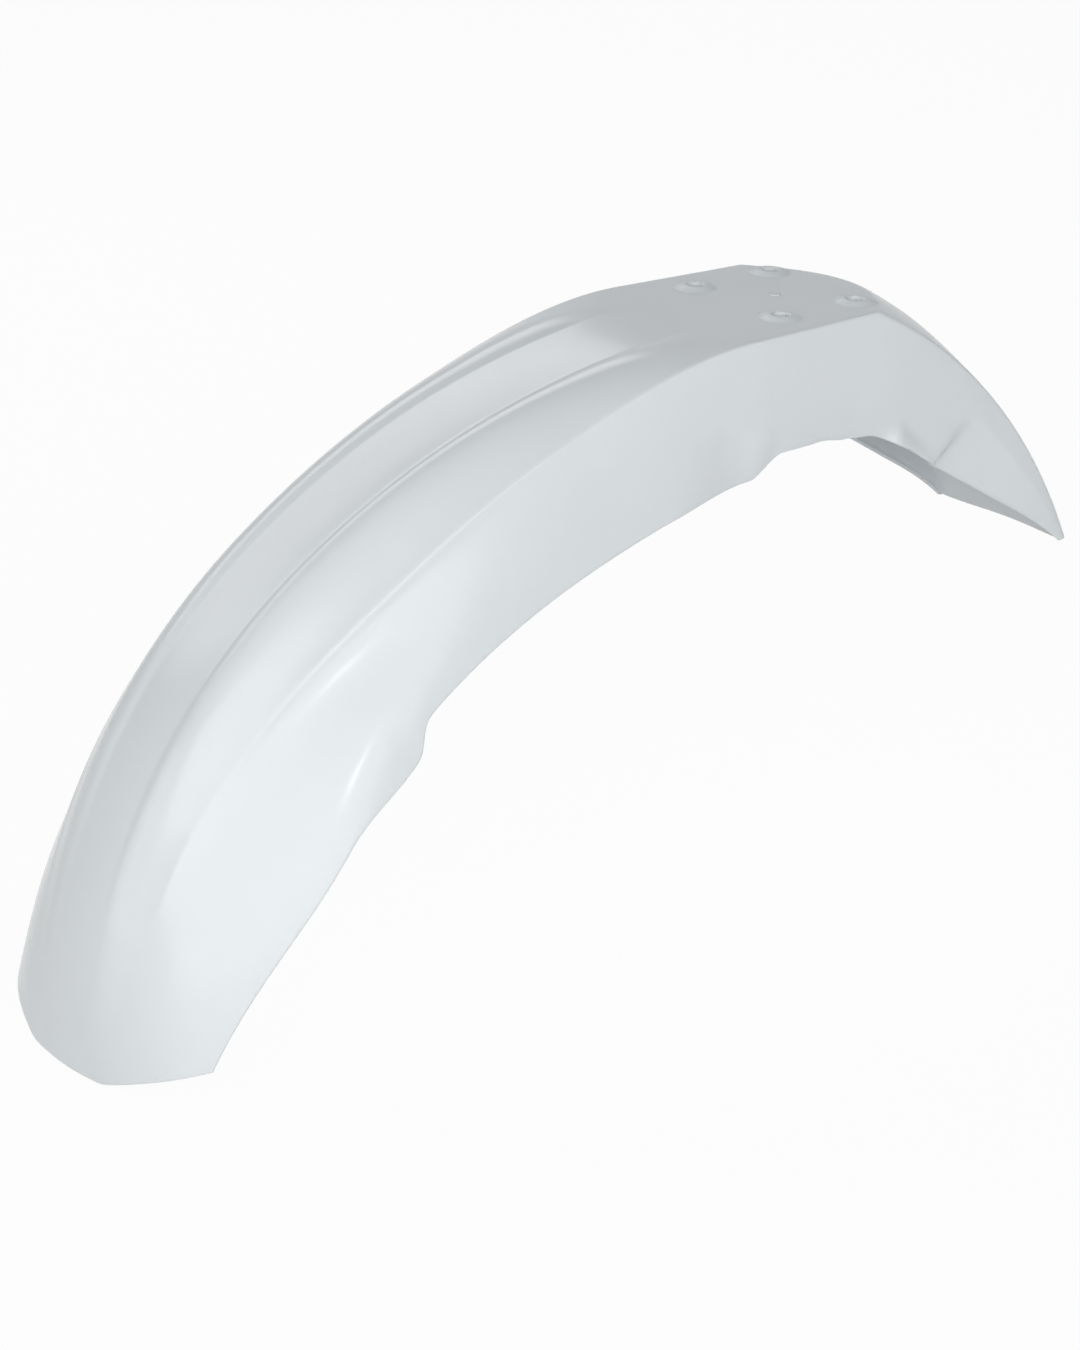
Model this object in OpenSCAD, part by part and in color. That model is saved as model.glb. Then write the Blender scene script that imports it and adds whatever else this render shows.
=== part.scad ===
// Front mudguard for a motorcycle, moulded in one piece.
// It bolts under the lower fork yoke through the four holes in its flat.
// X runs forward, Y to the rider's left and Z up. The origin is the middle of
// the four holes, level with the top faces of the pads round them.

/* [Fixing] */
// Hole spacing along the guard
bolt_pitch_x = 60; // [44:1:72]
// Hole spacing across the guard
bolt_pitch_y = 74; // [50:1:84]
// Diameter of each fixing hole
bolt_hole_d = 9; // [5:0.5:12]
// Diameter of the level top of the pad round each hole
pad_d = 16; // [14:1:20]
// Width of the slope from each pad down to the flat
pad_flare = 5; // [2:0.5:8]
// Height of each pad above the flat
pad_h = 2; // [1:0.5:4]
// Diameter of the gate mark in the middle of the holes
gate_d = 7; // [4:0.5:12]

/* [Wall] */
// Thickness of the moulding
wall = 3; // [2:0.25:4.5]

/* [Side view] */
// Length of the flat ahead of the origin
flat_front = 71.5; // [60:1:120]
// Length of the flat's sides behind the origin
flat_rear = 26; // [8:1:30]
// Length of the front arch along its crown
front_len = 630; // [480:5:680]
// Turn of the front arch over its first quarter
bend_root = 16; // [8:1:28]
// Turn over its second quarter
bend_neck = 19; // [8:1:28]
// Turn over its third quarter
bend_mid = 28; // [10:1:34]
// Turn over its last quarter
bend_tip = 29; // [8:1:44]
// How far the front corners lie behind the middle of the front edge
tip_sweep = 23.5; // [10:1:60]
// Half width of the blunt middle of the front edge
tip_blunt_w = 31; // [8:1:40]
// How much of each front corner is rounded away
tip_corner = 2; // [0:0.5:12]
// Length of the rear flap along its side ridges
rear_len = 270; // [180:5:320]
// Slope of the side ridges where the flap begins
rear_break = 24.5; // [12:1:36]
// Turn of the side ridges down to the trailing edge
rear_bend = 39; // [20:1:60]
// Lean of the cross sections at the trailing edge
rear_lean = 77.5; // [20:1:90]
// How far the trailing corners lie ahead of the trailing edge's middle
trail_sweep = 3.5; // [2:0.5:20]

/* [Flat and rear flap] */
// Half width of the flat at its rear corners
flat_half_w = 60.5; // [52:1:72]
// Half width of the guard across the trailing edge
trail_half_w = 54; // [36:1:60]
// Rise of the flap's crown above its ridges where it leaves the flat
crown_root = 14.5; // [12:1:30]
// Rise of the crown above the ridges at the trailing edge
crown_trail = 5.5; // [1:0.5:10]
// Fullness of the crown, from round at 2 to nearly flat-topped at 5
crown_full = 2; // [2:0.1:5]
// Depth of the side walls beside the flat
wall_depth = 72.5; // [60:1:100]
// Length of their level feet ahead of the origin
foot_front = 49; // [30:1:56]
// Depth of the side walls a quarter of the way down the flap
flap_depth_upper = 63; // [55:1:95]
// Depth of the side walls halfway down the flap
flap_depth_mid = 54.5; // [35:1:76]
// Depth of the side walls three quarters of the way down the flap
flap_depth_lower = 36; // [12:1:50]
// Depth of the side walls at the trailing edge
trail_depth = 4; // [2:0.5:12]
// Extra half width over the side walls' lower edges
foot_extra_w = 1; // [0:0.5:8]

/* [Section where the arch leaves the flat] */
// Half width of the centre panel
panel_w_root = 27.5; // [24:1:42]
// Half width over the ridges
ridge_w_root = 65.5; // [52:1:72]
// Half width over the lower edges
edge_w_root = 69.5; // [56:1:76]
// Depth of the lower edges below the crown
edge_d_root = 84.5; // [66:1:104]

/* [Section a quarter along the arch] */
// Half width of the centre panel
panel_w_neck = 25; // [20:1:36]
// Half width over the ridges
ridge_w_neck = 66.5; // [52:1:72]
// Depth of the ridges below the crown
ridge_d_neck = 16.5; // [10:1:28]
// Half width over the lower edges
edge_w_neck = 81.5; // [68:1:90]
// Depth of the lower edges below the crown
edge_d_neck = 88; // [66:1:98]

/* [Section halfway along the arch] */
// Half width of the centre panel
panel_w_mid = 22; // [14:1:30]
// Half width over the ridges
ridge_w_mid = 62.5; // [46:1:68]
// Depth of the ridges below the crown
ridge_d_mid = 26; // [14:1:34]
// Half width over the lower edges
edge_w_mid = 93.5; // [78:1:100]
// Depth of the lower edges below the crown
edge_d_mid = 81; // [64:1:96]

/* [Section three quarters along the arch] */
// Half width of the centre panel
panel_w_wing = 19; // [9:1:24]
// Half width over the ridges
ridge_w_wing = 52.5; // [40:1:60]
// Depth of the ridges below the crown
ridge_d_wing = 14.5; // [12:1:32]
// Half width over the lower edges
edge_w_wing = 104; // [82:1:104]
// Depth of the lower edges below the crown
edge_d_wing = 74; // [60:1:96]

/* [Section at the tip] */
// Half width of the centre panel
panel_w_tip = 19.5; // [6:1:22]
// Half width over the ridges
ridge_w_tip = 38.5; // [30:1:50]
// Depth of the ridges below the crown
ridge_d_tip = 2.5; // [1:1:18]
// Half width over the lower edges
edge_w_tip = 88; // [68:1:92]
// Depth of the lower edges below the crown
edge_d_tip = 25; // [16:1:44]

/* [Slopes across the arch] */
// Slope of the centre panel beside its crease
panel_slope = 5; // [0:1:10]
// Rise of the shoulder as it leaves the crease
crease_rise = 17.5; // [4:1:26]
// Fall of the shoulder where it meets the ridge
shoulder_fall = 39; // [30:1:60]
// Fall of the flank below the ridge
flank_fall = 69; // [50:1:76]
// Fall of the flank at its lower edge
edge_fall = 78; // [64:1:88]
// Depth of the hollow that sets the flank back below the ridge
flank_hollow = 1.25; // [0:0.25:3]
// Fall of the section at the ridge of the tip
tip_fall = 14; // [14:1:46]
// Fall of the section at the lower edge of the tip
tip_edge_fall = 53; // [36:1:66]

/* [Lower edge] */
// Depth of the ear where the front wings begin
ear_d = 11; // [0:0.5:12]
// Length of that ear along the arch
ear_len = 66; // [40:1:90]
// Place of the ear's rear end along the arch, as a share of it
ear_at = 0.52; // [0.45:0.01:0.7]

/* [Hidden] */
$fn = 64;

// Stations and points across, which set how smooth the moulding is
N_FLAP = 15;
N_NOSE = 6;
N_FLAT = 6;
N_ARCH = 36;
N_PANEL = 4;
N_SHOULDER = 7;
N_FLANK = 8;

BOLT_X = bolt_pitch_x / 2;
BOLT_Y = bolt_pitch_y / 2;
FLAT_Z = -pad_h;
TINY = 0.001;
// Fall of the upright side walls beside the flat, at the ridge and at the foot
WALL_FALL = 86;
FOOT_FALL = 88;
// Height of the gate mark, and steps down the slope of each pad
GATE_H = 0.5;
N_PAD = 4;
// Makes the hollow below the ridge as deep as its value says
HOLLOW_PEAK = 14.93;
// Roundness of the two blunt corners of the front edge, as a share of its sweep
TIP_ROUND = 0.15;

// Blends and laws along the guard
function mix(a, b, t) = a + (b - a) * t;
function clamp01(t) = min(1, max(0, t));
function ease(t) = let (u = clamp01(t)) u * u * (3 - 2 * u);
function slope_at(v, i, from_rest) =
    let (a = max(i - 1, 0), b = min(i + 1, len(v) - 1)) from_rest && i == 0 ? 0 : (v[b] - v[a]) / (b - a);

// Smooth curve through evenly spaced values, for t from 0 to 1. From rest, it
// starts level
function law(v, t, from_rest = false) =
    let (n = len(v) - 1, x = clamp01(t) * n, i = min(floor(x), n - 1), u = x - i)
    v[i] * (1 + 2 * u) * (1 - u) * (1 - u) + slope_at(v, i, from_rest) * u * (1 - u) * (1 - u)
    + v[i + 1] * u * u * (3 - 2 * u) - slope_at(v, i + 1, from_rest) * u * u * (1 - u);

// Crown of the front arch: four arcs, each tangent to the one before it
BENDS = [bend_root, bend_neck, bend_mid, bend_tip];
ARC_LEN = front_len / len(BENDS);
function arc_move(a0, turn, l) =
    let (r = l / (turn * PI / 180), a1 = a0 + turn)
    [r * (sin(a1) - sin(a0)), r * (cos(a1) - cos(a0))];
function sum_to(v, n, i = 0) = i >= n ? 0 : v[i] + sum_to(v, n, i + 1);
function arch_point(s, i = 0) =
    let (l = min(s, ARC_LEN), a0 = sum_to(BENDS, i), turn = BENDS[i] * l / ARC_LEN)
    l <= 0 ? [0, 0]
    : i == len(BENDS) - 1 ? arc_move(a0, BENDS[i] * s / ARC_LEN, s)
    : arc_move(a0, turn, l) + (s > ARC_LEN ? arch_point(s - ARC_LEN, i + 1) : [0, 0]);
function arch_slope(s) =
    let (i = min(floor(s / ARC_LEN), len(BENDS) - 1))
    sum_to(BENDS, i) + BENDS[i] * (s / ARC_LEN - i);

// Reference line in side view: the crown ahead of the flat's rear corners,
// and the side ridges behind them
REAR_R = rear_len / (rear_bend * PI / 180);
function line_point(s) =
    s > flat_front ? [flat_front, FLAT_Z] + arch_point(s - flat_front)
    : s > -flat_rear ? [s, FLAT_Z]
    : let (a = rear_break + (-s - flat_rear) / REAR_R * 180 / PI)
        [-flat_rear - REAR_R * (sin(a) - sin(rear_break)),
         FLAT_Z + REAR_R * (cos(a) - cos(rear_break))];

// Lean of the cross section: square to the crown in front, upright at the front
// bolts, and fanned back over the flap
REAR_SPAN = BOLT_X + flat_rear + rear_len;
function lean(s) =
    s > flat_front ? arch_slope(s - flat_front) : -rear_lean * max(0, BOLT_X - s) / REAR_SPAN;

// Curve across from p to q, leaving at one slope and arriving at another
function bow(p, q, fall_p, fall_q, t) =
    let (l = norm(q - p), u = 1 - t)
    p * (1 + 2 * t) * u * u + q * t * t * (3 - 2 * t)
    + l * t * u * (u * [cos(fall_p), sin(fall_p)] - t * [cos(fall_q), sin(fall_q)]);

// Section values at share t of the front arch
function panel_w(t) = law([panel_w_root, panel_w_neck, panel_w_mid, panel_w_wing, panel_w_tip], t);
function ridge_w(t) = law([ridge_w_root, ridge_w_neck, ridge_w_mid, ridge_w_wing, ridge_w_tip], t);
function ridge_d(t) = law([0, ridge_d_neck, ridge_d_mid, ridge_d_wing, ridge_d_tip], t, true);
function edge_w(t) = law([edge_w_root, edge_w_neck, edge_w_mid, edge_w_wing, edge_w_tip], t);
function edge_d(t) = law([edge_d_root, edge_d_neck, edge_d_mid, edge_d_wing, edge_d_tip], t);

// Part of the lower edge's half width that the flank's lowest part alone takes up
function lip(k) = k * (edge_w_root - ridge_w_root - foot_extra_w);
function lip_share(u) = ease((u - 0.45) / 0.55);

// Extra length of the flank at the ear on the lower edge
function ear(t) =
    let (u = (t - ear_at) * front_len / ear_len)
    ear_d * ease(u / 0.45) * (1 - ease((u - 0.45) / 0.55));

// Point across the section, [half width, depth], for v from 0 at the middle
// through 1 at the crease and 2 at the ridge to 3 at the lower edge
function arch_section(t, v) =
    let (
        fade = 1 - ease((t - 0.6) / 0.35),
        grow = ease(t / 0.3),
        crease = [panel_w(t), panel_w(t) * tan(panel_slope * grow) / 2],
        ridge = [ridge_w(t), ridge_d(t)],
        upright = 1 - ease(t / 0.3),
        edge = [edge_w(t) - lip(upright), edge_d(t)],
        rise = mix(panel_slope, -crease_rise, fade) * grow,
        fall = mix(tip_fall, shoulder_fall, fade) * ease(t / 0.2),
        flank = mix(tip_fall, mix(WALL_FALL, flank_fall, ease(t / 0.35)), fade),
        low = mix(tip_edge_fall, mix(FOOT_FALL, edge_fall, ease(t / 0.35)), fade),
        hollow = flank_hollow * ease(t / 0.25) * (1 - ease((t - 0.6) / 0.35)),
        u = v - 2
    )
    v <= 1 ? [crease[0] * v, crease[1] * v * v]
    : v <= 2 ? bow(crease, ridge, rise, fall, v - 1)
    : bow(ridge, edge, flank, low, u)
        + [lip(upright) * lip_share(u) - hollow * HOLLOW_PEAK * u * pow(1 - u, 5), 0]
        + ear(t) * ease((u - 0.7) / 0.3) * [cos(low), sin(low)];

// The same for the flat and the flap, where r runs from 0 at the flat's
// corners to 1 at the trailing edge
function rear_section(r, s, v) =
    let (
        side = r > 0 ? mix(flat_half_w, trail_half_w, r)
            : mix(flat_half_w, ridge_w_root, clamp01((s + flat_rear) / (flat_front + flat_rear))),
        ahead = clamp01((s - foot_front) / (flat_front - foot_front)),
        foot = side + foot_extra_w,
        depth = r > 0 ? law([wall_depth, flap_depth_upper, flap_depth_mid, flap_depth_lower, trail_depth], r)
            : mix(wall_depth, edge_d_root, ahead),
        crown = mix(crown_root, crown_trail, ease((r - 0.2) / 0.45)),
        panel = panel_w_root,
        y = v <= 1 ? panel * v : mix(panel, side, v - 1)
    )
    v <= 2 ? [y, r > 0 ? -crown * (1 - pow(y / side, crown_full)) : 0]
    : bow([side, 0], [foot, depth], WALL_FALL, FOOT_FALL, v - 2)
        + [lip(ease(ahead)) * lip_share(v - 2), 0];

function section(s, v) =
    s > flat_front ? arch_section((s - flat_front) / front_len, v)
    : rear_section((-s - flat_rear) / rear_len, s, v);

// Outer skin at distance s along the guard and v across it
function skin(s, v, side = 1) =
    let (p = line_point(s), a = lean(s), q = section(s, v))
    [p[0] - q[1] * sin(a), side * q[0], p[1] - q[1] * cos(a)];

// Where the crowned flap rises through the level of the flat
function nose(v, lo, hi, n = 18) =
    let (m = (lo + hi) / 2)
    n == 0 ? m : skin(m, v)[2] > FLAT_Z ? nose(v, lo, m, n - 1) : nose(v, m, hi, n - 1);
function fold(v) = v >= 2 ? -flat_rear : nose(v, -flat_rear - rear_len * 0.6, -flat_rear - TINY);

// Far end of each line along the front arch
ARCH_END = flat_front + front_len;
function front_end(v) =
    let (y = section(ARCH_END, v)[0], x = (y - tip_blunt_w) / (edge_w_tip - tip_blunt_w))
    ARCH_END - tip_sweep * (x + norm([x, TIP_ROUND])) / 2 - tip_corner * pow(y / edge_w_tip, 10);

// The same at the trailing edge
TRAIL_END = -flat_rear - rear_len;
function rear_end(v) = TRAIL_END + trail_sweep * pow(section(TRAIL_END, v)[0] / trail_half_w, 4);

// Stations from the trailing edge to the tip, along the line at v
function stations(v) =
    let (b = rear_end(v), f = fold(v), e = front_end(v))
    concat(
        [for (i = [0:N_FLAP - 1]) mix(b, f, i / N_FLAP)],
        [for (i = [0:N_NOSE - 1]) mix(f, 0, i / N_NOSE)],
        [for (i = [0:N_FLAT - 1]) mix(0, flat_front, i / N_FLAT)],
        [for (i = [0:N_ARCH]) mix(flat_front, e, i / N_ARCH)]
    );

// Points across the right half, then the left half
HALF = concat(
    [for (i = [0:N_PANEL - 1]) i / N_PANEL],
    [for (i = [0:N_SHOULDER - 1]) 1 + i / N_SHOULDER],
    [for (i = [0:N_FLANK]) 2 + i / N_FLANK]
);
N_HALF = len(HALF) - 1;
ACROSS = concat([for (i = [N_HALF:-1:1]) [HALF[i], -1]], [for (v = HALF) [v, 1]]);

function level(p, s) = s < 0 && p[2] > FLAT_Z - TINY * 10 ? [p[0], p[1], FLAT_Z] : p;
LINES = [for (v = HALF) let (st = stations(v)) [for (s = st) level(skin(s, v), s)]];
N_LONG = len(LINES[0]);
N_WIDE = len(ACROSS);
OUTER = [for (i = [0:N_LONG - 1]) [for (j = [0:N_WIDE - 1])
    let (h = abs(j - N_HALF), p = LINES[h][i]) [p[0], ACROSS[j][1] * p[1], p[2]]]];

function unit(v) = v / norm(v);
function normal_at(i, j) =
    let (
        a = OUTER[max(i - 1, 0)][j], b = OUTER[min(i + 1, N_LONG - 1)][j],
        c = OUTER[i][max(j - 1, 0)], d = OUTER[i][min(j + 1, N_WIDE - 1)]
    )
    unit(cross(b - a, d - c));
INNER = [for (i = [0:N_LONG - 1]) [for (j = [0:N_WIDE - 1])
    OUTER[i][j] - wall * normal_at(i, j)]];

function flatten(rows) = [for (row = rows) for (p = row) p];
SHELL_POINTS = concat(flatten(OUTER), flatten(INNER));
N_SKIN = N_LONG * N_WIDE;
function at(i, j) = i * N_WIDE + j;
function quad(a, b, c, d) = [[a, b, c], [a, c, d]];
SHELL_FACES = flatten(concat(
    [for (i = [0:N_LONG - 2]) for (j = [0:N_WIDE - 2])
        quad(at(i, j), at(i, j + 1), at(i + 1, j + 1), at(i + 1, j))],
    [for (i = [0:N_LONG - 2]) for (j = [0:N_WIDE - 2])
        quad(N_SKIN + at(i, j), N_SKIN + at(i + 1, j), N_SKIN + at(i + 1, j + 1), N_SKIN + at(i, j + 1))],
    [for (i = [0:N_LONG - 2])
        quad(at(i, 0), at(i + 1, 0), N_SKIN + at(i + 1, 0), N_SKIN + at(i, 0))],
    [for (i = [0:N_LONG - 2])
        quad(at(i + 1, N_WIDE - 1), at(i, N_WIDE - 1),
             N_SKIN + at(i, N_WIDE - 1), N_SKIN + at(i + 1, N_WIDE - 1))],
    [for (j = [0:N_WIDE - 2])
        quad(at(0, j + 1), at(0, j), N_SKIN + at(0, j), N_SKIN + at(0, j + 1))],
    [for (j = [0:N_WIDE - 2])
        quad(at(N_LONG - 1, j), at(N_LONG - 1, j + 1),
             N_SKIN + at(N_LONG - 1, j + 1), N_SKIN + at(N_LONG - 1, j))]
));

module at_bolts() {
    for (x = [-BOLT_X, BOLT_X], y = [-BOLT_Y, BOLT_Y])
        translate([x, y, 0])
            children();
}

// Pad with a level top and a soft slope, sunk into the wall
module pad() {
    rim = pad_d / 2 + pad_flare;
    root = FLAT_Z - wall / 2;
    slope = [for (i = [0:N_PAD]) [rim - pad_flare * i / N_PAD, FLAT_Z + pad_h * ease(i / N_PAD)]];
    rotate_extrude($fn = 40)
        polygon(concat([[0, root], [rim, root]], slope, [[0, 0]]));
}

module mudguard() {
    color("white")
        difference() {
            union() {
                polyhedron(SHELL_POINTS, SHELL_FACES, convexity = 8);
                at_bolts()
                    pad();
                translate([0, 0, FLAT_Z - wall / 2])
                    cylinder(d = gate_d, h = wall / 2 + GATE_H, $fn = 32);
            }
            at_bolts()
                translate([0, 0, FLAT_Z - wall - 1])
                    cylinder(d = bolt_hole_d, h = wall + pad_h + 2);
        }
}

mudguard();
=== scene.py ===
# Front mudguard of a motorcycle: the smooth white moulding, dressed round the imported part.
# Everything is worked out in millimetres and placed in metres, in the part's own frame.
from math import cos, pi, radians, sin, tan

import bmesh
import bpy
import numpy as np
from mathutils import Matrix, Vector


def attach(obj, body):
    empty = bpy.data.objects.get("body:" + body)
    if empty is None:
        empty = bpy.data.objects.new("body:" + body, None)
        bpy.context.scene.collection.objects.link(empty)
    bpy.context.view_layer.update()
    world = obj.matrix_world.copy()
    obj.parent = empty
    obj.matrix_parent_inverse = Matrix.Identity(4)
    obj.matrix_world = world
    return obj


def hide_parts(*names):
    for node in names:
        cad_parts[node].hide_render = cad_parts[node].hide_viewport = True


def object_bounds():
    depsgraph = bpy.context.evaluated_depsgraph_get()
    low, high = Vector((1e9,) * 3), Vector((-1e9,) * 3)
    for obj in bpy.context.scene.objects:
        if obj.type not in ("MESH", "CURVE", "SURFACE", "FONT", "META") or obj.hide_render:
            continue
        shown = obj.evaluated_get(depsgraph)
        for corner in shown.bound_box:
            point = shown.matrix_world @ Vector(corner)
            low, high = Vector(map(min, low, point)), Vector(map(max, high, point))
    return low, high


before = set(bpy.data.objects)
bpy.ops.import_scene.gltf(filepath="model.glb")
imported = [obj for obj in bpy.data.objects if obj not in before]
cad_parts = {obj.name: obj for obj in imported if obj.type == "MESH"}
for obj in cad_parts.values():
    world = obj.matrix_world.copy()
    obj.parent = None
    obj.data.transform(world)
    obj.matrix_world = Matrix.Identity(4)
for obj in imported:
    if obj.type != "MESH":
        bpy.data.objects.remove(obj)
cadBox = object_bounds()
mm = 0.001

# The moulding, in millimetres, degrees and shares. It follows the part's own laws, with softer
# pads, shoulders and ears. A pair ending in Over is where a change starts and how long it takes
guard = {
    "boltPitchX": 60, "boltPitchY": 74, "boltHole": 9,
    "padWide": 12.5, "padFlare": 7.2, "padHigh": 2, "gateWide": 7, "gateHigh": 0.5, "wall": 3,
    # the line in side view: the flat, the arch ahead of it and the flap behind it
    "flatFront": 71.4, "flatRear": 26, "frontLen": 630, "bends": (16, 19, 28, 29),
    "rearLen": 270, "rearBreak": 24.5, "rearBend": 39, "rearLean": 77.5,
    # the two ends
    "tipSweep": 23.5, "tipBlunt": 31, "tipRound": 0.15, "tipCorner": 2, "tipCornerPower": 10,
    "trailSweep": 3.5, "trailPower": 4,
    # across the flat and the flap
    "flatHalf": 60.5, "trailHalf": 54, "wallDepths": (72.5, 63, 54.5, 36, 4),
    "crownRoot": 14.5, "crownTrail": 5.5, "crownFull": 2, "crownOver": (0.2, 0.45),
    "footFront": 49, "footExtra": 1, "wallFall": 86, "footFall": 88, "lipOver": (0.45, 0.55),
    # across the arch, from the flat to the tip
    "panelWide": (27.5, 25, 22, 19, 19.5), "ridgeWide": (65.5, 66.5, 62.5, 52.5, 38.5),
    "ridgeDeep": (0, 16.5, 26, 14.5, 2.5), "edgeWide": (69.5, 81.5, 93.5, 104, 88),
    "edgeDeep": (84.5, 88, 81, 74, 25), "growOver": (0, 0.3), "fadeOver": (0.6, 0.35),
    "panelSlope": 5, "shoulderFirm": 1.05, "creaseRise": 22, "riseOver": (0, 0.14),
    "shoulderFall": 34, "fallOver": (0, 0.2), "flankFall": 69, "edgeFall": 78,
    "flankOver": (0, 0.35), "tipFall": 14, "tipEdgeFall": 53,
    "flankHollow": 1.25, "hollowOver": (0, 0.25), "hollowPower": 5, "hollowPeak": 14.93,
    "earDeep": 10.5, "earLen": 112, "earAt": 0.52, "earPeak": 0.27, "earOver": (0.7, 0.3),
}


def mix(a, b, t):
    return a + (b - a) * t


def ease(t):
    u = np.clip(t, 0, 1)
    return u * u * (3 - 2 * u)


def change(t, startAndRun):  # 0 up to the start, then a smooth rise to 1
    start, run = startAndRun
    return ease((t - start) / run)


def law(values, t, fromRest=False):  # smooth curve through evenly spaced values
    v = np.array(values, float)
    n = len(v) - 1
    slopes = np.gradient(v)
    if fromRest:
        slopes[0] = 0
    x = np.clip(t, 0, 1) * n
    i = np.minimum(np.floor(x).astype(int), n - 1)
    u = x - i
    return (v[i] * (1 + 2 * u) * (1 - u) ** 2 + slopes[i] * u * (1 - u) ** 2
            + v[i + 1] * u * u * (3 - 2 * u) - slopes[i + 1] * u * u * (1 - u))


def bow(p, q, fallP, fallQ, t, firm=1.0):  # curve from p to q with a given slope at each end
    reach = firm * np.hypot(q[0] - p[0], q[1] - p[1])
    u = 1 - t
    ends = ((np.cos(fallP), np.cos(fallQ)), (np.sin(fallP), np.sin(fallQ)))
    return [p[k] * (1 + 2 * t) * u * u + q[k] * t * t * (3 - 2 * t)
            + reach * t * u * (u * ends[k][0] - t * ends[k][1]) for k in (0, 1)]


def linePoint(s):  # reference line in side view, and the lean of the sections on it
    g = guard
    bendLen = g["frontLen"] / len(g["bends"])
    past = np.maximum(s - g["flatFront"], 0)
    x, z, slope = np.minimum(s, g["flatFront"]), -g["padHigh"] + 0 * s, 0 * s
    start = 0.0
    for i, bend in enumerate(g["bends"]):
        last = i == len(g["bends"]) - 1
        run = np.clip(past - i * bendLen, 0, None if last else bendLen)
        turn = radians(bend) / bendLen
        x = x + (np.sin(start + run * turn) - sin(start)) / turn
        z = z + (np.cos(start + run * turn) - cos(start)) / turn
        slope = slope + run * turn
        start += radians(bend)
    radius = g["rearLen"] / radians(g["rearBend"])
    brk = radians(g["rearBreak"])
    behind = np.maximum(-s - g["flatRear"], 0)
    a = brk + behind / radius
    rear = s < -g["flatRear"]
    x = np.where(rear, -g["flatRear"] - radius * (np.sin(a) - sin(brk)), x)
    z = np.where(rear, -g["padHigh"] + radius * (np.cos(a) - cos(brk)), z)
    half = g["boltPitchX"] / 2
    fan = radians(g["rearLean"]) * np.maximum(0, half - s) / (half + g["flatRear"] + g["rearLen"])
    return x, z, np.where(s > g["flatFront"], slope, -fan)


def lip(k):  # the lower edge's extra half width, which only the lowest part of the flank takes up
    return k * (guard["edgeWide"][0] - guard["ridgeWide"][0] - guard["footExtra"])


# Shallow forms pressed into the side walls: millimetres, degrees, and shares down the wall or
# along the flap. The dent's line gives its upper edge by distance along and share down
pressed = {
    "dentDeep": 5.0, "dentLine": ((46, 0.93), (60, 0.77), (83, 0.59), (102, 0.53)),
    "dentRun": 0.45, "dentLead": 20, "dentFade": 70, "footFull": 4.6, "footReach": 36,
    "flareTilt": 25, "flareFrom": 0.17, "flareTo": 0.5, "flareTop": 0.76, "flareSoft": 0.05,
    "tuckTilt": 14, "tuckTop": 0.3, "tuckOver": (0.43, 0.045),
}


def footDent(s, u):  # how far the wall is pressed in beside the foot's front slope
    p = pressed
    top = np.interp(s, *zip(*p["dentLine"]))
    down = np.clip((u - top) / p["dentRun"], 0, 1)
    ahead = 1 - ease((s - p["dentLine"][-1][0] + p["dentLead"]) / p["dentFade"])
    return p["dentDeep"] * down * (2 - down) * ahead


def flapFacets(r, u, deep):  # the lower edge flares out behind the foot, and turns in at the tail
    p = pressed
    top = mix(p["flareTop"], 1, (r - p["flareFrom"]) / (p["flareTo"] - p["flareFrom"]))
    flare = change(r, (p["flareFrom"], p["flareSoft"])) * tan(radians(p["flareTilt"]))
    tuck = change(r, p["tuckOver"]) * tan(radians(p["tuckTilt"]))
    return deep * (np.maximum(u - top, 0) * flare - np.maximum(u - p["tuckTop"], 0) * tuck)


def archSection(t, v):
    g = guard
    fade = 1 - change(t, g["fadeOver"])
    grow = change(t, g["growOver"])
    low = change(t, g["flankOver"])
    u = np.clip(v - 2, 0, 1)
    panel = law(g["panelWide"], t)
    crease = (panel, panel * np.tan(radians(g["panelSlope"]) * grow) / 2)
    ridge = (law(g["ridgeWide"], t), law(g["ridgeDeep"], t, True))
    edge = (law(g["edgeWide"], t) - lip(1 - grow), law(g["edgeDeep"], t))
    rise = np.radians(mix(g["panelSlope"], -g["creaseRise"], fade) * change(t, g["riseOver"]))
    fall = np.radians(mix(g["tipFall"], g["shoulderFall"], fade) * change(t, g["fallOver"]))
    shoulder = bow(crease, ridge, rise, fall, np.clip(v - 1, 0, 1), g["shoulderFirm"])
    flank = np.radians(mix(g["tipFall"], mix(g["wallFall"], g["flankFall"], low), fade))
    foot = np.radians(mix(g["tipEdgeFall"], mix(g["footFall"], g["edgeFall"], low), fade))
    side = bow(ridge, edge, flank, foot, u)
    hollow = g["flankHollow"] * change(t, g["hollowOver"]) * fade
    side[0] = (side[0] + lip(1 - grow) * change(u, g["lipOver"])
               - hollow * g["hollowPeak"] * u * (1 - u) ** g["hollowPower"])
    along = (t - g["earAt"]) * g["frontLen"] / g["earLen"]
    drop = ease((along - g["earPeak"]) / (1 - g["earPeak"]))
    ear = g["earDeep"] * ease(along / g["earPeak"]) * (1 - drop) * change(u, g["earOver"])
    side = [side[0] + ear * np.cos(foot), side[1] + ear * np.sin(foot)]
    return [np.where(v <= 1, (crease[0] * v, crease[1] * v * v)[k],
                     np.where(v <= 2, shoulder[k], side[k])) for k in (0, 1)]


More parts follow.
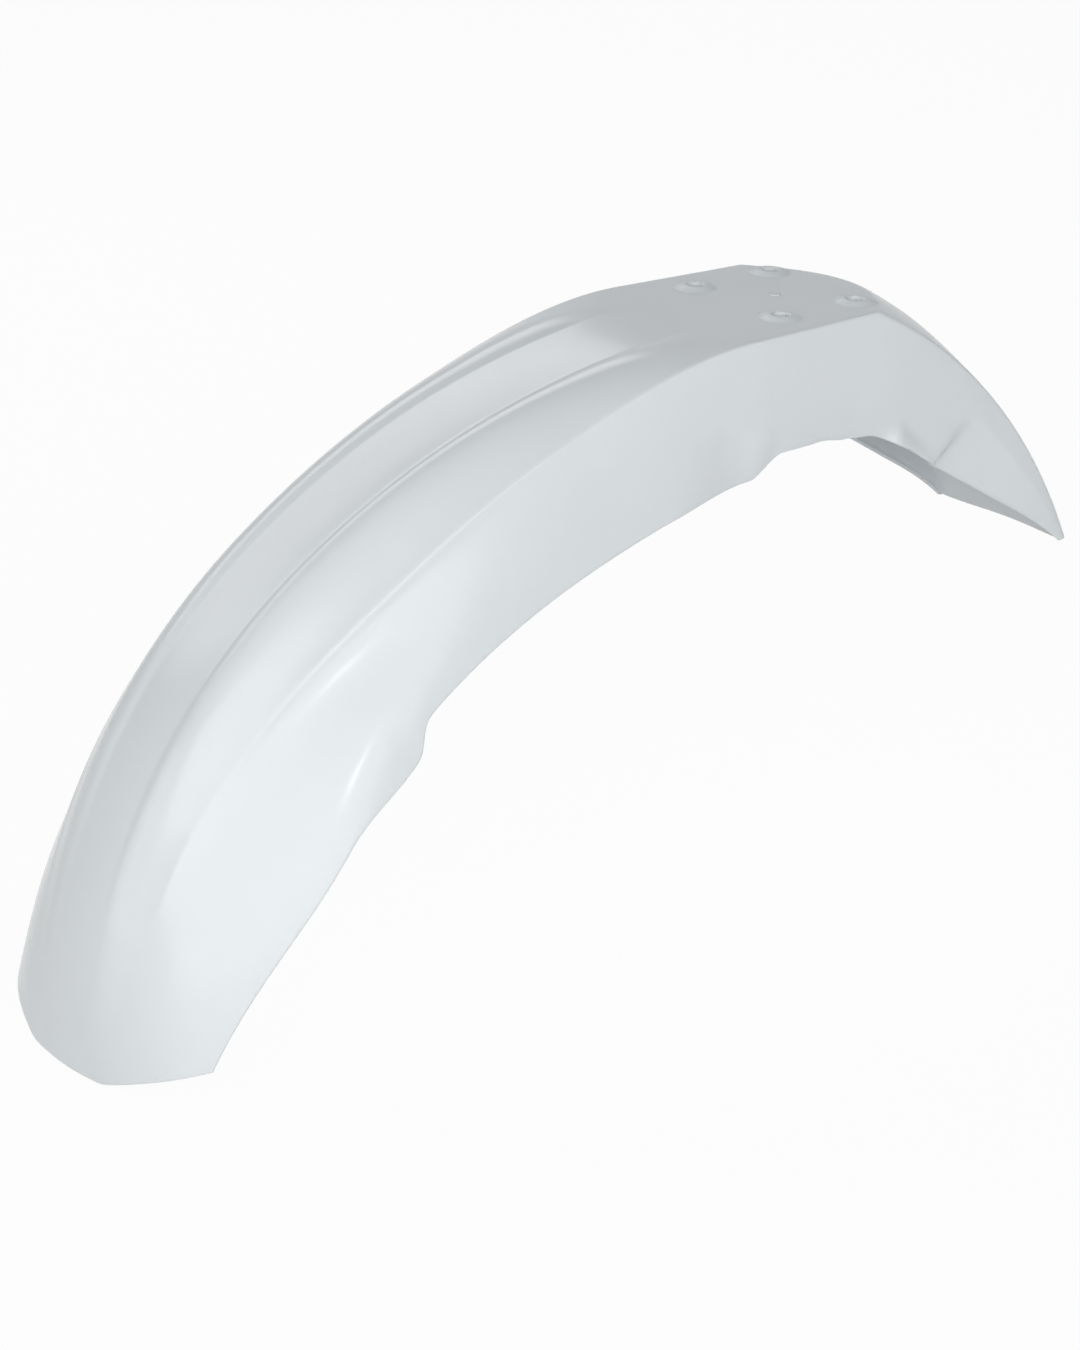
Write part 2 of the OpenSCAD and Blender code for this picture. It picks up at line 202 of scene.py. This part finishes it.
def rearSection(s, v):
    g = guard
    r = np.minimum((-s - g["flatRear"]) / g["rearLen"], 1)
    onFlat = np.clip((s + g["flatRear"]) / (g["flatFront"] + g["flatRear"]), 0, 1)
    side = np.where(r > 0, mix(g["flatHalf"], g["trailHalf"], np.clip(r, 0, 1)),
                    mix(g["flatHalf"], g["ridgeWide"][0], onFlat))
    ahead = np.clip((s - g["footFront"]) / (g["flatFront"] - g["footFront"]), 0, 1)
    foot = side + g["footExtra"]
    depth = np.where(r > 0, law(g["wallDepths"], r),
                     mix(g["wallDepths"][0], g["edgeDeep"][0], ahead))
    nearFoot = 1 - ease(np.abs(s + g["flatRear"]) / pressed["footReach"])
    depth = depth + pressed["footFull"] * nearFoot
    crown = mix(g["crownRoot"], g["crownTrail"], change(r, g["crownOver"]))
    panel = g["panelWide"][0]
    y = np.where(v <= 1, panel * v, mix(panel, side, v - 1))
    top = np.where(r > 0, -crown * (1 - np.abs(y / side) ** g["crownFull"]), 0)
    u = np.clip(v - 2, 0, 1)
    wall = bow((side, 0 * side), (foot, depth), radians(g["wallFall"]), radians(g["footFall"]), u)
    wall[0] = wall[0] + lip(ease(ahead)) * change(u, g["lipOver"]) + flapFacets(r, u, depth)
    return [np.where(v <= 2, (y, top)[k], wall[k]) for k in (0, 1)]


def skin(s, v):  # outer skin at distance s along the guard and v across it
    g = guard
    x, z, lean = linePoint(s)
    t = np.clip((s - g["flatFront"]) / g["frontLen"], 0, 1)
    front, rear = archSection(t, v), rearSection(s, v)
    y, deep = [np.where(s > g["flatFront"], front[k], rear[k]) for k in (0, 1)]
    y = y - footDent(s, np.clip(v - 2, 0, 1))
    return np.stack([x - deep * np.sin(lean), y, z - deep * np.cos(lean)], -1)


# How finely the skin is drawn: cells along and across, the shortest cell beside an edge, how fast
# cells grow away from it, and the points that each band of half a section is worked out at
fineness = {
    "flap": 64, "nose": 20, "flat": 16, "arch": 150, "panel": 14, "shoulder": 20, "flank": 34,
    "leastCell": 0.12, "leastAtEnd": 0.06, "cellGrowth": 1.45, "bandPoints": (120, 160, 240),
    "foldReach": 0.6, "foldNear": 0.001, "foldTries": 22,
}
# The radii that the mould gives its edges, and how they are averaged in
rounding = {
    "ridge": 3.0, "along": 3.0, "fold": 1.6, "foldFade": 10, "rim": 1.2,
    "samples": 9, "middleWeight": 1.1, "sharpFrom": 38,
}


def foldLine(v):  # where the crowned flap rises through the level of the flat
    g, f = guard, fineness
    lo = np.full(len(v), -g["flatRear"] - g["rearLen"] * f["foldReach"])
    hi = np.full(len(v), -g["flatRear"] - f["foldNear"])
    for _ in range(f["foldTries"]):
        m = (lo + hi) / 2
        above = skin(m, v)[:, 2] > -g["padHigh"]
        hi, lo = np.where(above, m, hi), np.where(above, lo, m)
    return np.where(v >= 2, -g["flatRear"], (lo + hi) / 2)


def frontEnd(v):
    g = guard
    end = g["flatFront"] + g["frontLen"]
    y = skin(np.full(len(v), end), v)[:, 1]
    x = (y - g["tipBlunt"]) / (g["edgeWide"][-1] - g["tipBlunt"])
    corner = g["tipCorner"] * (y / g["edgeWide"][-1]) ** g["tipCornerPower"]
    return end - g["tipSweep"] * (x + np.hypot(x, g["tipRound"])) / 2 - corner


def rearEnd(v):
    g = guard
    end = -g["flatRear"] - g["rearLen"]
    y = skin(np.full(len(v), end), v)[:, 1]
    return end + g["trailSweep"] * (y / g["trailHalf"]) ** g["trailPower"]


def shares(n, denseStart, denseEnd, least=fineness["leastCell"]):  # n cells, short at what is crisp
    steps = np.ones(n)
    ramp = np.minimum(1, least * fineness["cellGrowth"] ** np.arange(n))
    if denseStart:
        steps = np.minimum(steps, ramp)
    if denseEnd:
        steps = np.minimum(steps, ramp[::-1])
    return np.concatenate([[0], np.cumsum(steps)]) / steps.sum()


def distanceAlong(line):
    return np.concatenate([[0], np.cumsum(np.linalg.norm(np.diff(line, axis=0), axis=1))])


def averaged(points, along, want, reach):  # points at want, each the mean of a short stretch
    low, high = along[0], along[-1]
    room = np.minimum(1, np.minimum(want - low, high - want) / reach)
    total, weight = 0, 0
    for step in np.linspace(-1, 1, rounding["samples"]):
        w = rounding["middleWeight"] - abs(step)
        at = want + step * reach * room
        total = total + w * np.stack([np.interp(at, along, points[:, k]) for k in range(3)], -1)
        weight += w
    return total / weight


def fineSkin():  # the whole outer skin, worked out densely across, with the flat's cut softened
    g, f = guard, fineness
    half = np.concatenate([k + np.arange(n) / n for k, n in enumerate(f["bandPoints"])] + [[3]])
    fold, end, start = foldLine(half), frontEnd(half), rearEnd(half)
    flapShare = shares(f["flap"], True, True, f["leastAtEnd"])[:-1, None]
    noseShare = shares(f["nose"], True, False)[:-1, None]
    flatShare = np.linspace(0, 1, f["flat"] + 1)[:-1, None]
    archShare = shares(f["arch"], False, True, f["leastAtEnd"])[:, None]
    stations = np.concatenate([
        mix(start, fold, flapShare),
        mix(fold, 0, noseShare), mix(0 * fold, g["flatFront"], flatShare),
        mix(g["flatFront"] + 0 * end, end, archShare)])
    p = skin(stations, np.broadcast_to(half, stations.shape))
    away = (-g["flatRear"] - stations) / rounding["foldFade"]
    soft = rounding["fold"] * ease(away) + 1e-6
    h = np.clip(0.5 + 0.5 * (-g["padHigh"] - p[..., 2]) / soft, 0, 1)
    cut = mix(-g["padHigh"], p[..., 2], h) - soft * h * (1 - h)
    p[..., 2] = np.where(stations < -g["flatRear"], cut, p[..., 2])
    return np.concatenate([p[:, :0:-1] * (1, -1, 1), p], 1)


def outerGrid():
    f = fineness
    marks = np.cumsum(f["bandPoints"])
    at = marks[-1] + np.array([*-marks[::-1], 0, *marks])
    panel, shoulder, flank = (shares(f[band], band != "panel", True)
                              for band in ("panel", "shoulder", "flank"))
    cells = (flank, shoulder, 1 - panel[::-1], panel, shoulder, flank)
    rows = []
    for line in fineSkin():
        along = distanceAlong(line)
        ends = along[at]
        want = np.concatenate([mix(a, b, c[:-1]) for a, b, c in zip(ends, ends[1:], cells)]
                              + [ends[-1:]])
        rows.append(averaged(line, along, want, rounding["ridge"]))
    grid = np.array(rows)
    for j in range(grid.shape[1]):
        along = distanceAlong(grid[:, j])
        grid[:, j] = averaged(grid[:, j], along, along, rounding["along"])
    return grid


def edgeRun(grid, axis):  # distance along the skin to the nearer end
    step = np.linalg.norm(np.diff(grid, axis=axis), axis=2)
    run = np.insert(np.cumsum(step, axis=axis), 0, 0, axis=axis)
    return np.minimum(run, np.take(run, [-1], axis=axis) - run)


def bothSkins(grid):  # outer and inner skin with rounded rims, and the distance to the rim
    normal = np.cross(np.gradient(grid, axis=0), np.gradient(grid, axis=1))
    normal /= np.linalg.norm(normal, axis=2)[..., None]
    r = rounding["rim"]
    runs = [edgeRun(grid, k) for k in (0, 1)]
    short = np.hypot(*[np.maximum(0, r - run) for run in runs])
    dip = (r - np.sqrt(np.maximum(r * r - np.minimum(short, r) ** 2, 0)))[..., None]
    return grid - normal * dip, grid - normal * (guard["wall"] - dip), np.minimum(*runs)


def shellMesh():
    outer, inner, near = bothSkins(outerGrid())
    long, wide = outer.shape[0] - 1, outer.shape[1] - 1
    bm = bmesh.new()
    spot = bm.verts.layers.int.new("spot")
    inside = bm.verts.layers.float.new("inside")
    rim = bm.verts.layers.float.new("rimDistance")

    def sheet(points, hidden):
        verts = bmesh.ops.create_grid(bm, x_segments=wide, y_segments=long, size=1)["verts"]
        flat = points.reshape(-1, 3)
        for k, vert in enumerate(verts):
            vert.co = Vector(flat[k]) * mm
            vert[spot], vert[inside], vert[rim] = k, hidden, near.flat[k]
        return verts

    outside = sheet(outer, 0)
    border = list({e for vert in outside for e in vert.link_edges if e.is_boundary})
    rimVerts = [e for e in bmesh.ops.extrude_edge_only(bm, edges=border)["geom"]
                if isinstance(e, bmesh.types.BMVert)]
    flatInner = inner.reshape(-1, 3)
    for vert in rimVerts:
        vert.co = Vector(flatInner[vert[spot]]) * mm
    sheet(inner, 1)
    bmesh.ops.remove_doubles(bm, verts=bm.verts[:], dist=1e-7)
    bmesh.ops.recalc_face_normals(bm, faces=bm.faces[:])
    return bm


def turned(profile, place, steps):  # closed round solid from an outline of radius and height
    bm = bmesh.new()
    line = [bm.verts.new((r * mm, 0, z * mm)) for r, z in profile]
    edges = [bm.edges.new(pair) for pair in zip(line, line[1:])]
    bmesh.ops.spin(bm, geom=line + edges, cent=(0, 0, 0), axis=(0, 0, 1), angle=2 * pi,
                   steps=steps, use_merge=True)
    bmesh.ops.remove_doubles(bm, verts=bm.verts[:], dist=1e-6)
    bmesh.ops.recalc_face_normals(bm, faces=bm.faces[:])
    bmesh.ops.translate(bm, verts=bm.verts[:], vec=Vector(place) * mm)
    return bm


def joined(parts):
    bm = bmesh.new()
    for part in parts:
        spare = bpy.data.meshes.new("spare")
        part.to_mesh(spare)
        bm.from_mesh(spare)
        part.free()
        bpy.data.meshes.remove(spare)
    return bm


def asObject(bm, name):
    mesh = bpy.data.meshes.new(name)
    bm.to_mesh(mesh)
    bm.free()
    obj = bpy.data.objects.new(name, mesh)
    bpy.context.scene.collection.objects.link(obj)
    return obj


# The bolt holes' rounded entries, how much deeper than wide they run, how far the turned pieces
# reach past the skin, and the steps they are turned in
boltWork = {
    "entryRound": 1.6, "entryDeep": 1.4, "past": 1, "padRings": 14, "roundPoints": 6,
    "padSteps": 72, "gateSteps": 40, "boreSteps": 64,
}


def quarterRound(cx, cz, r, start, end):  # angles in degrees
    return [(cx + r * cos(radians(a)), cz + r * sin(radians(a)))
            for a in np.linspace(start, end, boltWork["roundPoints"])]


def boltPlaces():
    x, y = guard["boltPitchX"] / 2, guard["boltPitchY"] / 2
    return [(i * x, j * y, -guard["padHigh"]) for i in (-1, 1) for j in (-1, 1)]


def padProfile():  # level top, and a soft slope down to the flat
    r, h, flare, low = guard["padWide"] / 2, guard["padHigh"], guard["padFlare"], -boltWork["past"]
    slope = [(r + flare * (1 - t), h * ease(t)) for t in np.linspace(0, 1, boltWork["padRings"])]
    return [(0, low), (r + flare, low)] + slope + [(0, h)]


def gateProfile():  # the moulding's gate mark in the middle of the bolts
    r, h, low = guard["gateWide"] / 2, guard["gateHigh"], -boltWork["past"]
    return [(0, low), (r, low)] + quarterRound(r - h / 2, h / 2, h / 2, 0, 90) + [(0, h)]


def boreProfile():
    r, h, entry, past = (guard["boltHole"] / 2, guard["padHigh"], boltWork["entryRound"],
                         boltWork["past"])
    low = -guard["wall"] - past
    rounded = [(x, h - boltWork["entryDeep"] * (h - z))
               for x, z in quarterRound(r + entry, h - entry, entry, 180, 90)]
    return [(0, low), (r, low)] + rounded + [(r + entry, h + past), (0, h + past)]


def combine(target, tool, how):
    step = target.modifiers.new(how, "BOOLEAN")
    step.operation, step.object, step.solver = how, tool, "MANIFOLD"
    graph = bpy.context.evaluated_depsgraph_get()
    mesh = bpy.data.meshes.new_from_object(target.evaluated_get(graph))
    target.modifiers.clear()
    target.data = mesh
    bpy.data.objects.remove(tool)


def makeShell():
    shell = asObject(shellMesh(), "guardShell")
    pads = [turned(padProfile(), at, boltWork["padSteps"]) for at in boltPlaces()]
    gate = turned(gateProfile(), (0, 0, -guard["padHigh"]), boltWork["gateSteps"])
    combine(shell, asObject(joined(pads + [gate]), "padTool"), "UNION")
    bores = [turned(boreProfile(), at, boltWork["boreSteps"]) for at in boltPlaces()]
    combine(shell, asObject(joined(bores), "boreTool"), "DIFFERENCE")
    bm = bmesh.new()
    bm.from_mesh(shell.data)
    for face in bm.faces:
        face.smooth = True
    for edge in bm.edges:
        edge.smooth = edge.calc_face_angle(0) < radians(rounding["sharpFrom"])
    bm.to_mesh(shell.data)
    print("shell", len(bm.verts), "vertices", len(bm.faces), "faces, open edges",
          sum(1 for e in bm.edges if not e.is_manifold))
    bm.free()
    return shell


# The trimmed rim is duller than the moulded face, and the inner face is satin. Scales are per
# metre and heights in metres, and the ranges are the parts of the cloud's noise that count
plastic = {
    "colour": (0.755, 0.79, 0.805), "shade": (0.722, 0.758, 0.775), "roughness": (0.16, 0.22),
    "ior": 1.49, "gloss": 0.39, "insideRoughness": 0.42, "trimWide": 2.5, "trimRoughness": 0.22,
    "cloud": 9.0, "cloudDetail": 3.0, "tintRange": (0.3, 0.75), "roughRange": (0.3, 0.7),
    "grain": 420, "grainDetail": 2.0, "grainHeight": 0.00002, "grainStrength": 0.5,
    "peel": 60, "peelDetail": 1.5, "peelHeight": 0.00012, "peelStrength": 0.35,
}


def nodeAt(tree, kind, x, y, **settings):
    node = tree.nodes.new(kind)
    node.location = (x, y)
    for key, value in settings.items():
        if key in node.inputs:
            node.inputs[key].default_value = value
        else:
            setattr(node, key, value)
    return node


def ranged(tree, x, y, source, fromRange=(0, 1), toRange=(0, 1)):
    node = nodeAt(tree, "ShaderNodeMapRange", x, y)
    names = ("From Min", "From Max", "To Min", "To Max")
    for name, value in zip(names, (*fromRange, *toRange)):
        node.inputs[name].default_value = value
    tree.links.new(source, node.inputs["Value"])
    return node.outputs["Result"]


def emptyMaterial(name):
    mat = bpy.data.materials.new(name)
    mat.use_nodes = True
    mat.node_tree.nodes.clear()
    return mat, mat.node_tree, mat.node_tree.links.new


def plasticMaterial():
    p = plastic
    mat, tree, link = emptyMaterial("glossWhitePlastic")
    out = nodeAt(tree, "ShaderNodeOutputMaterial", 900, 0)
    body = nodeAt(tree, "ShaderNodeBsdfPrincipled", 600, 0, IOR=p["ior"])
    body.inputs["Specular IOR Level"].default_value = p["gloss"]
    coords = nodeAt(tree, "ShaderNodeTexCoord", -900, 0)
    cloud, grain, peel = (
        nodeAt(tree, "ShaderNodeTexNoise", -600, y, Scale=p[name], Detail=p[name + "Detail"])
        for name, y in (("cloud", 300), ("grain", -50), ("peel", -350)))
    for noise in (cloud, grain, peel):
        link(coords.outputs["Object"], noise.inputs["Vector"])
    tint = nodeAt(tree, "ShaderNodeMix", -300, 350, data_type="RGBA")
    tint.inputs[6].default_value = (*p["colour"], 1)
    tint.inputs[7].default_value = (*p["shade"], 1)
    link(ranged(tree, -420, 420, cloud.outputs["Fac"], p["tintRange"]), tint.inputs["Factor"])
    link(tint.outputs[2], body.inputs["Base Color"])
    rough = ranged(tree, -300, 100, cloud.outputs["Fac"], p["roughRange"], p["roughness"])
    inside = nodeAt(tree, "ShaderNodeAttribute", -600, 150, attribute_name="inside")
    both = nodeAt(tree, "ShaderNodeMix", 0, 150)
    link(inside.outputs["Fac"], both.inputs["Factor"])
    link(rough, both.inputs[2])
    both.inputs[3].default_value = p["insideRoughness"]
    rim = nodeAt(tree, "ShaderNodeAttribute", -300, -120, attribute_name="rimDistance")
    trim = ranged(tree, 0, -80, rim.outputs["Fac"], (0, p["trimWide"]), (p["trimRoughness"], 0))
    total = nodeAt(tree, "ShaderNodeMath", 250, 100, operation="ADD")
    link(both.outputs[0], total.inputs[0])
    link(trim, total.inputs[1])
    link(total.outputs[0], body.inputs["Roughness"])
    first = nodeAt(tree, "ShaderNodeBump", 0, -350,
                   Strength=p["peelStrength"], Distance=p["peelHeight"])
    second = nodeAt(tree, "ShaderNodeBump", 250, -150,
                    Strength=p["grainStrength"], Distance=p["grainHeight"])
    link(peel.outputs["Fac"], first.inputs["Height"])
    link(grain.outputs["Fac"], second.inputs["Height"])
    link(first.outputs["Normal"], second.inputs["Normal"])
    link(second.outputs["Normal"], body.inputs["Normal"])
    link(body.outputs["BSDF"], out.inputs["Surface"])
    return mat


shell = makeShell()
shell.data.materials.clear()  # the cuts leave an empty slot
shell.data.materials.append(plasticMaterial())
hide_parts("mudguard")
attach(shell, "root")
print("mudguard made")

studio = {
    "floorDrop": 2, "floorSize": 14, "floorColour": 0.84, "floorGlow": 0.955,
    "world": 0.09, "worldColour": (0.94, 0.97, 1.0), "aim": (0.2, 0, -0.12), "away": 2.6,
    "lamps": (
        # name, azimuth and height in degrees round the object, width and height in metres, watts
        ("mainSoftbox", 58, 21, 4.7, 2.2, 74),
        ("tipSoftbox", -20, 10, 1.4, 1.4, 6.5),
        ("farStrip", -92, 38, 3.2, 1.0, 20),
        ("smallLamp", 76, 25, 0.22, 0.22, 2.8),
    ),
}


def toward(azimuth, elevation):  # unit vector, from angles in degrees
    az, el = radians(azimuth), radians(elevation)
    return Vector((cos(el) * cos(az), cos(el) * sin(az), sin(el)))


def backgroundRays(tree):  # 1 for the camera, glossy and transmission rays, which see it pale
    seen = nodeAt(tree, "ShaderNodeLightPath", -700, 300)
    ray = seen.outputs["Is Camera Ray"]
    for x, other in ((-500, "Is Glossy Ray"), (-300, "Is Transmission Ray")):
        either = nodeAt(tree, "ShaderNodeMath", x, 300, operation="MAXIMUM")
        tree.links.new(ray, either.inputs[0])
        tree.links.new(seen.outputs[other], either.inputs[1])
        ray = either.outputs[0]
    return ray


def paleMaterial(name, colour, glow):  # lit surface that shows nearly white behind the object
    mat, tree, link = emptyMaterial(name)
    out = nodeAt(tree, "ShaderNodeOutputMaterial", 600, 0)
    lit = nodeAt(tree, "ShaderNodeBsdfDiffuse", 0, 100, Color=(colour, colour, colour, 1))
    bright = nodeAt(tree, "ShaderNodeEmission", 0, -100, Strength=1.0)
    part = nodeAt(tree, "ShaderNodeMath", 50, 300, operation="MULTIPLY")
    blend = nodeAt(tree, "ShaderNodeMixShader", 300, 0)
    link(backgroundRays(tree), part.inputs[0])
    part.inputs[1].default_value = glow
    link(part.outputs[0], blend.inputs["Fac"])
    link(lit.outputs[0], blend.inputs[1])
    link(bright.outputs[0], blend.inputs[2])
    link(blend.outputs[0], out.inputs["Surface"])
    return mat


def makeStudio():
    low = cadBox[0][2] - studio["floorDrop"] * mm
    bm = bmesh.new()
    bmesh.ops.create_grid(bm, x_segments=1, y_segments=1, size=studio["floorSize"],
                          matrix=Matrix.Translation((0, 0, low)))
    floor = asObject(bm, "floor")
    pale = paleMaterial("paleFloor", studio["floorColour"], studio["floorGlow"])
    floor.data.materials.append(pale)
    for name, around, up, wide, high, watts in studio["lamps"]:
        light = bpy.data.lights.new(name, "AREA")
        light.shape, light.size, light.size_y, light.energy = "RECTANGLE", wide, high, watts
        lamp = bpy.data.objects.new(name, light)
        place = Vector(studio["aim"]) + toward(around, up) * studio["away"]
        turn = toward(around, up).to_track_quat("Z", "Y").to_matrix().to_4x4()
        lamp.matrix_world = Matrix.Translation(place) @ turn
        bpy.context.scene.collection.objects.link(lamp)
    world = bpy.data.worlds.new("studioWorld")
    bpy.context.scene.world = world
    world.use_nodes = True
    tree, link = world.node_tree, world.node_tree.links.new
    tree.nodes.clear()
    out = nodeAt(tree, "ShaderNodeOutputWorld", 500, 0)
    back = nodeAt(tree, "ShaderNodeBackground", 250, 0)
    back.inputs["Color"].default_value = (*studio["worldColour"], 1)
    level = ranged(tree, 50, -50, backgroundRays(tree), toRange=(studio["world"], 1))
    link(level, back.inputs["Strength"])
    link(back.outputs[0], out.inputs["Surface"])


# The photograph's viewpoint: angles in degrees, lengths in millimetres, focal length in the
# photograph's own pixels, clipping in metres
viewpoint = {
    "azimuth": 49.28, "elevation": 21.68, "roll": 2.17, "right": 139.3, "down": -227.3,
    "distance": 2358.0, "focal": 3983.2, "photoWide": 1080, "sensor": 36, "clip": (0.05, 60),
}


def makeCamera():
    v = viewpoint
    roll = radians(v["roll"])
    back = toward(v["azimuth"], v["elevation"])
    right = (-back).cross(Vector((0, 0, 1))).normalized()
    down = (-back).cross(right)
    axes = (cos(roll) * right - sin(roll) * down, sin(roll) * right + cos(roll) * down, -back)
    eye = -(axes[0] * v["right"] + axes[1] * v["down"] + axes[2] * v["distance"]) * mm
    data = bpy.data.cameras.new("photoCamera")
    data.sensor_fit, data.sensor_width = "HORIZONTAL", v["sensor"]
    data.lens = v["sensor"] * v["focal"] / v["photoWide"]
    data.clip_start, data.clip_end = v["clip"]
    camera = bpy.data.objects.new("photoCamera", data)
    turn = Matrix((axes[0], -axes[1], -axes[2])).transposed()
    camera.matrix_world = Matrix.Translation(eye) @ turn.to_4x4()
    bpy.context.scene.collection.objects.link(camera)
    bpy.context.scene.camera = camera


makeStudio()
makeCamera()
bpy.context.scene.view_settings.view_transform = "Standard"
print("studio and camera made")
